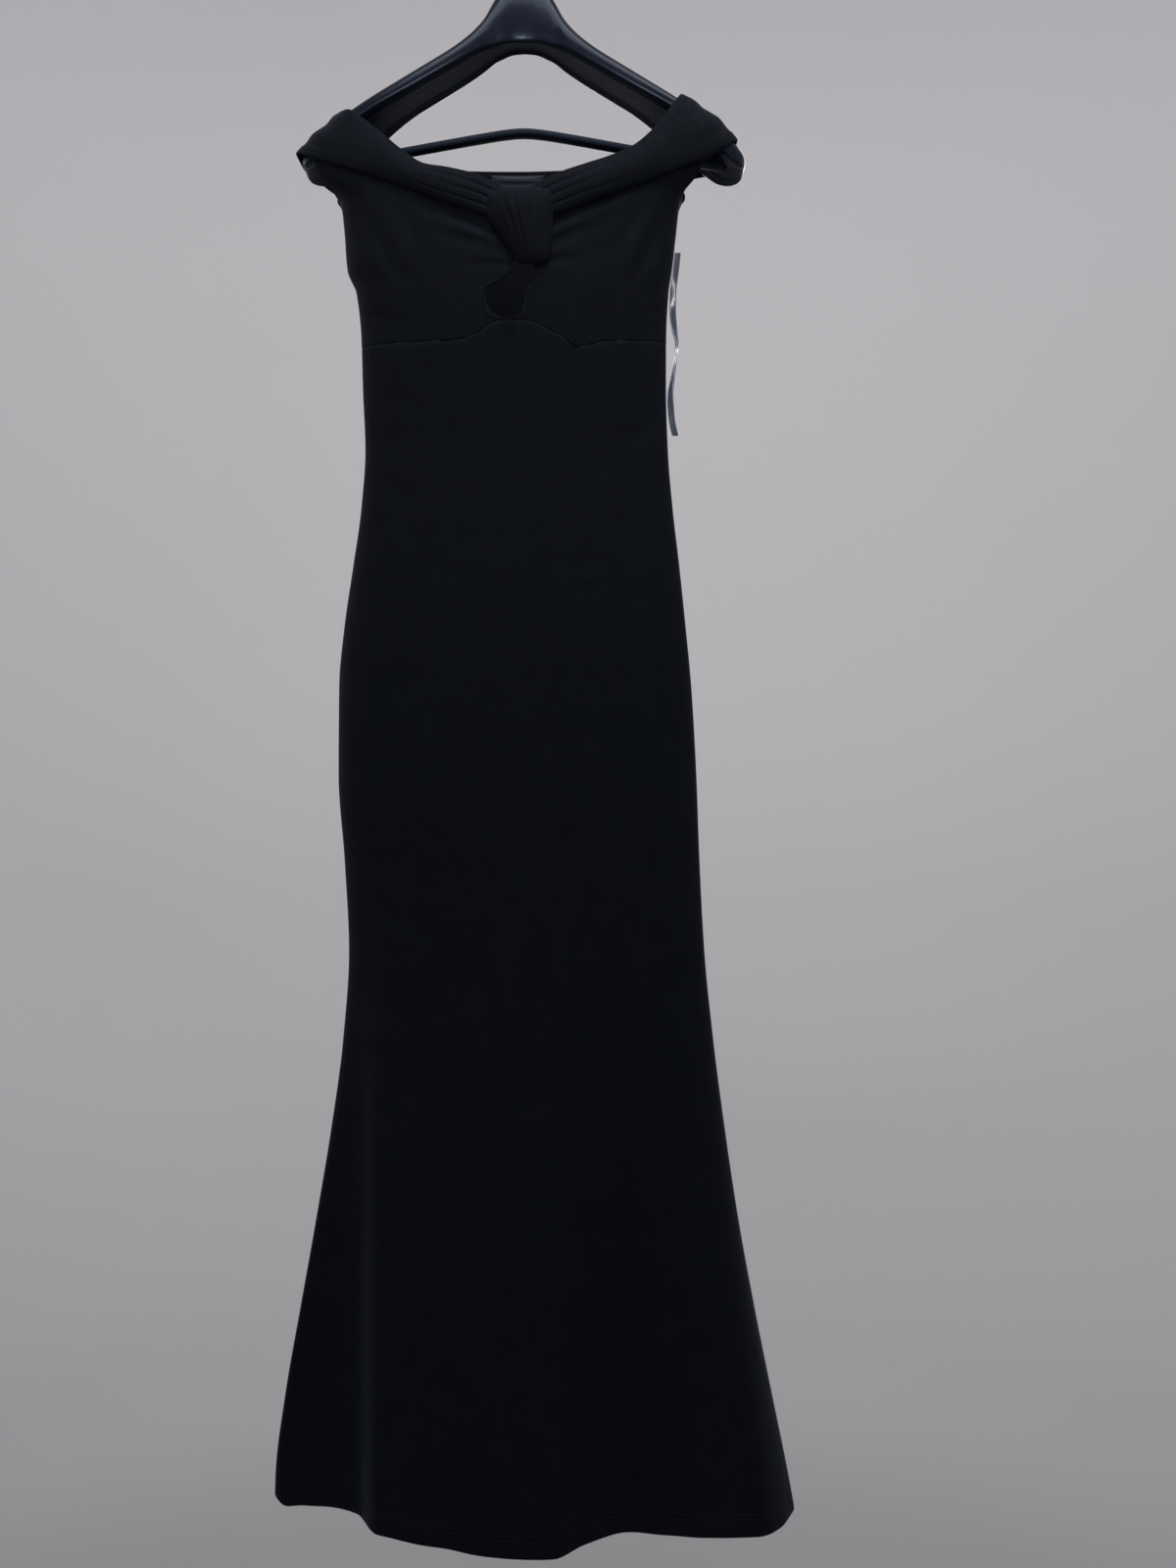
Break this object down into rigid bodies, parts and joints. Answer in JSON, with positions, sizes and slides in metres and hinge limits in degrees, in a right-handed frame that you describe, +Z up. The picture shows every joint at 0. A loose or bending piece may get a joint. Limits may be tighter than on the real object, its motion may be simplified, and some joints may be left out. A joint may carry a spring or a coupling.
{
  "type": "off-the-shoulder maxi dress on a clothes hanger",
  "caption": "Off-the-shoulder maxi dress with a knotted neck band, keyhole bust and flared hem, hung on a wide-shouldered hanger by its hook.",
  "frame": {"origin": "inside top of the hanger's hook, where a rail, rod or nail carries it; the hanger's middle plane", "axes": "+Z up, +X to the right of a person who looks at the front, front faces -Y"},
  "size_m": [0.5141, 0.0961, 1.6007],
  "materials": {
    "crepe": "matte black stretch crepe",
    "satin": "black satin, bare",
    "clear_elastic": "clear elastic strip",
    "hanger_plastic": "glossy black moulded plastic",
    "hook_wire": "polished steel wire"
  },
  "bodies": {
    "root": {"front_skirt": "crepe", "bust_left": "crepe", "bust_right": "crepe", "back_panel": "crepe", "band_left": "crepe", "band_right": "crepe", "knot": "crepe", "neck_label": "satin", "hanger_loop": "clear_elastic", "hanger_frame": "hanger_plastic", "hanger_bar": "hanger_plastic", "hanger_hook": "hook_wire"}
  },
  "joints": []
}
